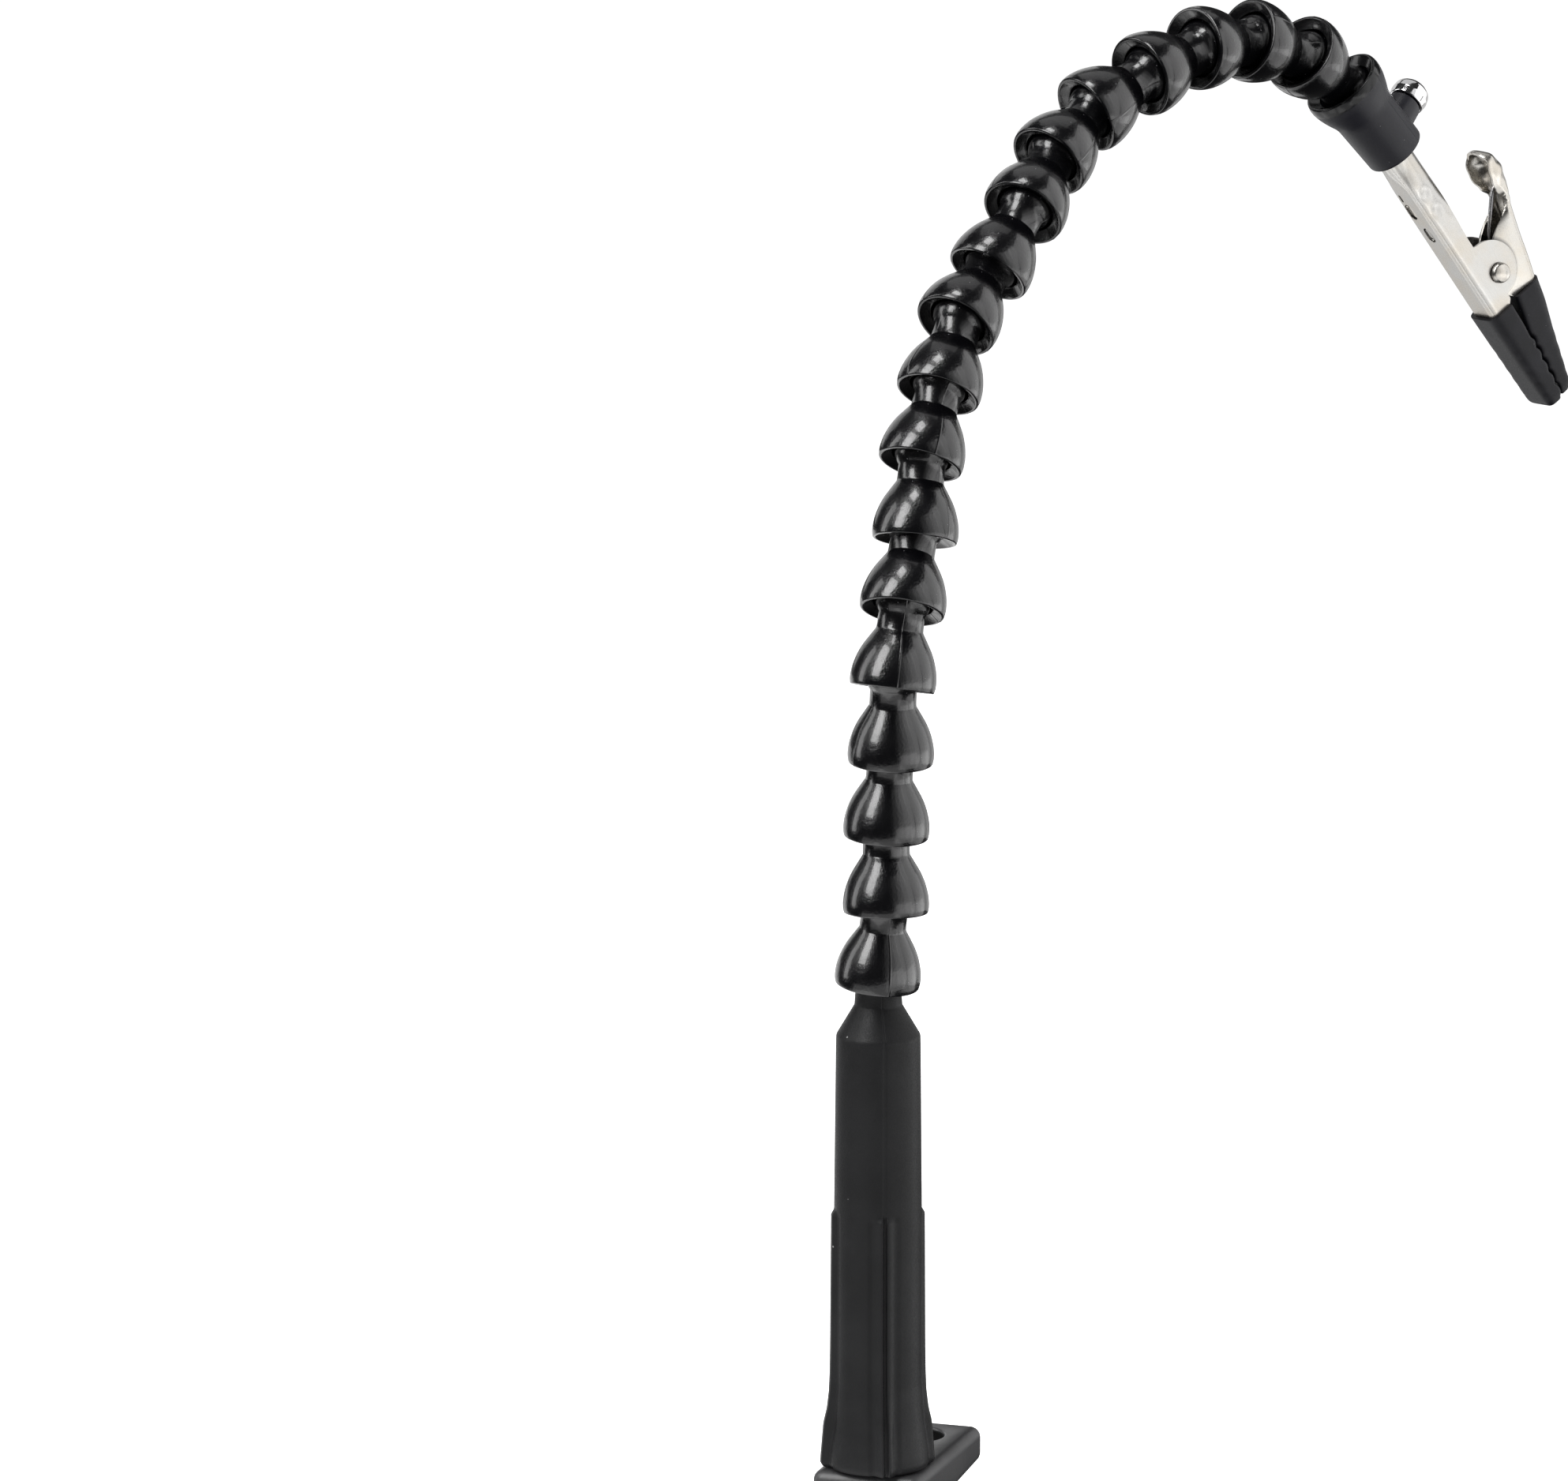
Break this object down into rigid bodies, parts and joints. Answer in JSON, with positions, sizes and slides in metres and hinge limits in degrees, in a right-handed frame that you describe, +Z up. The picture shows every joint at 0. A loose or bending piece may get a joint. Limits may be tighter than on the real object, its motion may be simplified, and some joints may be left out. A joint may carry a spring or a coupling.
{
  "type": "helping hands clamp",
  "caption": "Workbench helping hand: a table clamp with a tall post, a ball-jointed bendable arm and a sprung clip with rubber-covered jaws.",
  "frame": {"origin": "middle of the jaw pad's face, where the upper jaw presses on the table top", "axes": "+Z up along the post, +Y along the upper jaw from the spine to its free end, +X across the jaw"},
  "size_m": [0.1142, 0.1888, 0.4209],
  "materials": {
    "frame_paint": "fine-textured black powder coat, satin",
    "post_plastic": "finely spark-textured black plastic with a parting line",
    "arm_plastic": "polished black plastic with mould seams",
    "collar_plastic": "semi-matte black plastic with a parting line",
    "knob_plastic": "matte black plastic",
    "sleeve_rubber": "matte black vinyl rubber",
    "pad_rubber": "matte black rubber",
    "nickel_sheet": "nickel-plated pressed sheet, bright on the bends and satin on the flats",
    "chrome_steel": "bright chrome plating",
    "zinc_steel": "zinc-plated steel",
    "spring_steel": "drawn spring wire"
  },
  "bodies": {
    "clamp": {"clamp_frame": "frame_paint", "post_set_screw": "zinc_steel", "jaw_pad": "pad_rubber", "post": "post_plastic"},
    "arm_segment_01": {"arm_segment_01": "arm_plastic"},
    "arm_segment_02": {"arm_segment_02": "arm_plastic"},
    "arm_segment_03": {"arm_segment_03": "arm_plastic"},
    "arm_segment_04": {"arm_segment_04": "arm_plastic"},
    "arm_segment_05": {"arm_segment_05": "arm_plastic"},
    "arm_segment_06": {"arm_segment_06": "arm_plastic"},
    "arm_segment_07": {"arm_segment_07": "arm_plastic"},
    "arm_segment_08": {"arm_segment_08": "arm_plastic"},
    "arm_segment_09": {"arm_segment_09": "arm_plastic"},
    "arm_segment_10": {"arm_segment_10": "arm_plastic"},
    "arm_segment_11": {"arm_segment_11": "arm_plastic"},
    "arm_segment_12": {"arm_segment_12": "arm_plastic"},
    "arm_segment_13": {"arm_segment_13": "arm_plastic"},
    "arm_segment_14": {"arm_segment_14": "arm_plastic"},
    "arm_segment_15": {"arm_segment_15": "arm_plastic"},
    "arm_segment_16": {"arm_segment_16": "arm_plastic"},
    "arm_segment_17": {"arm_segment_17": "arm_plastic"},
    "arm_segment_18": {"arm_segment_18": "arm_plastic"},
    "clip_collar": {"clip_collar": "collar_plastic"},
    "clip_screw": {"clip_screw": "chrome_steel"},
    "clip": {"clip_lower_jaw": "nickel_sheet", "clip_pivot": "nickel_sheet", "clip_spring": "spring_steel", "lower_jaw_sleeve": "sleeve_rubber"},
    "clip_upper_jaw": {"clip_upper_jaw": "nickel_sheet", "upper_jaw_sleeve": "sleeve_rubber"},
    "clamp_foot": {"clamp_foot": "zinc_steel", "foot_pad": "pad_rubber"},
    "clamp_screw": {"clamp_screw": "zinc_steel", "clamp_knob": "knob_plastic"}
  },
  "joints": [
    {"name": "arm_swivel", "type": "hinge", "parent": "clamp", "child": "arm_segment_01", "pos_m": [0, -0.0115, 0.1123], "axis": [0, 0, 1], "continuous": true},
    {"name": "ball_joint_02", "type": "hinge", "parent": "arm_segment_01", "child": "arm_segment_02", "pos_m": [0.00172, -0.01213, 0.12725], "axis": [-0.342, -0.9397, 0], "range_deg": [-28, 11]},
    {"name": "ball_joint_03", "type": "hinge", "parent": "arm_segment_02", "child": "arm_segment_03", "pos_m": [0.00159, -0.01135, 0.14229], "axis": [-0.9397, 0.342, 0], "range_deg": [-16, 21]},
    {"name": "ball_joint_04", "type": "hinge", "parent": "arm_segment_03", "child": "arm_segment_04", "pos_m": [0.00258, -0.01171, 0.15731], "axis": [0.342, 0.9397, 0], "range_deg": [-19, 20]},
    {"name": "ball_joint_05", "type": "hinge", "parent": "arm_segment_04", "child": "arm_segment_05", "pos_m": [0.00338, -0.01239, 0.17233], "axis": [-0.9397, 0.342, 0], "range_deg": [-34, 4]},
    {"name": "ball_joint_06", "type": "hinge", "parent": "arm_segment_05", "child": "arm_segment_06", "pos_m": [0.00432, -0.00887, 0.18695], "axis": [-0.3319, -0.912, 0.2411], "range_deg": [-23, 5]},
    {"name": "ball_joint_07", "type": "hinge", "parent": "arm_segment_06", "child": "arm_segment_07", "pos_m": [0.00432, -0.00134, 0.19999], "axis": [-0.9397, 0.342, 0], "range_deg": [-11, 29]},
    {"name": "ball_joint_08", "type": "hinge", "parent": "arm_segment_07", "child": "arm_segment_08", "pos_m": [0.00413, 0.00406, 0.21405], "axis": [0.3222, 0.8853, -0.3353], "range_deg": [-16, 14]},
    {"name": "ball_joint_09", "type": "hinge", "parent": "arm_segment_08", "child": "arm_segment_09", "pos_m": [0.00528, 0.01218, 0.22668], "axis": [0.9397, -0.342, 0], "range_deg": [-15, 25]},
    {"name": "ball_joint_10", "type": "hinge", "parent": "arm_segment_09", "child": "arm_segment_10", "pos_m": [0.00657, 0.02136, 0.23855], "axis": [-0.2718, -0.7466, 0.6072], "range_deg": [-9, 16]},
    {"name": "ball_joint_11", "type": "hinge", "parent": "arm_segment_10", "child": "arm_segment_11", "pos_m": [0.00968, 0.03298, 0.24761], "axis": [-0.9397, 0.342, 0], "range_deg": [-11, 27]},
    {"name": "ball_joint_12", "type": "hinge", "parent": "arm_segment_11", "child": "arm_segment_12", "pos_m": [0.01367, 0.04285, 0.25826], "axis": [0.2419, 0.6647, -0.7069], "range_deg": [-7, 27]},
    {"name": "ball_joint_13", "type": "hinge", "parent": "arm_segment_12", "child": "arm_segment_13", "pos_m": [0.01581, 0.055, 0.2669], "axis": [-0.9397, 0.342, 0], "range_deg": [-21, 13]},
    {"name": "ball_joint_14", "type": "hinge", "parent": "arm_segment_13", "child": "arm_segment_14", "pos_m": [0.02065, 0.06697, 0.27465], "axis": [-0.1762, -0.4842, 0.857], "range_deg": [-6, 32]},
    {"name": "ball_joint_15", "type": "hinge", "parent": "arm_segment_14", "child": "arm_segment_15", "pos_m": [0.02873, 0.0781, 0.28078], "axis": [-0.9397, 0.342, 0], "range_deg": [-30, 9]},
    {"name": "ball_joint_16", "type": "hinge", "parent": "arm_segment_15", "child": "arm_segment_16", "pos_m": [0.03626, 0.09063, 0.28442], "axis": [0.0842, 0.2313, -0.9692], "range_deg": [-11, 14]},
    {"name": "ball_joint_17", "type": "hinge", "parent": "arm_segment_16", "child": "arm_segment_17", "pos_m": [0.04356, 0.1038, 0.28416], "axis": [-0.9397, 0.342, 0], "range_deg": [-37, 2]},
    {"name": "ball_joint_18", "type": "hinge", "parent": "arm_segment_17", "child": "arm_segment_18", "pos_m": [0.05115, 0.11594, 0.27951], "axis": [0.1078, 0.2962, 0.949], "range_deg": [-19, 8]},
    {"name": "collar_ball_joint", "type": "hinge", "parent": "arm_segment_18", "child": "clip_collar", "pos_m": [0.05688, 0.1272, 0.2713], "axis": [-0.9397, 0.342, 0], "range_deg": [-35, 0]},
    {"name": "clip_turn", "type": "hinge", "parent": "clip_collar", "child": "clip", "pos_m": [0.06444, 0.13493, 0.25816], "axis": [0.4217, 0.397, -0.8152], "continuous": true},
    {"name": "jaw_open", "type": "hinge", "parent": "clip", "child": "clip_upper_jaw", "pos_m": [0.0809, 0.15086, 0.23211], "axis": [0.7338, -0.6776, 0.0496], "range_deg": [0, 24], "stiffness_Nm_per_rad": 0.25, "springref_deg": -20.05, "deforming": ["clip_spring"]},
    {"name": "clip_screw_turn", "type": "hinge", "parent": "clip_collar", "child": "clip_screw", "pos_m": [0.06477, 0.13928, 0.26688], "axis": [0.256, 0.7276, 0.6364], "continuous": true},
    {"name": "clamp_travel", "type": "slide", "parent": "clamp", "child": "clamp_foot", "axis": [0, 0, 1], "range_m": [-0.03, 0.024]},
    {"name": "clamp_screw_turn", "type": "hinge", "parent": "clamp_foot", "child": "clamp_screw", "pos_m": [0, 0, -0.07], "axis": [0, 0, 1], "range_deg": [-7200, 5760]}
  ],
  "couplings": [
    {"joint": "clamp_screw_turn", "follows": "clamp_travel", "rad_per_m": 4188.8}
  ]
}
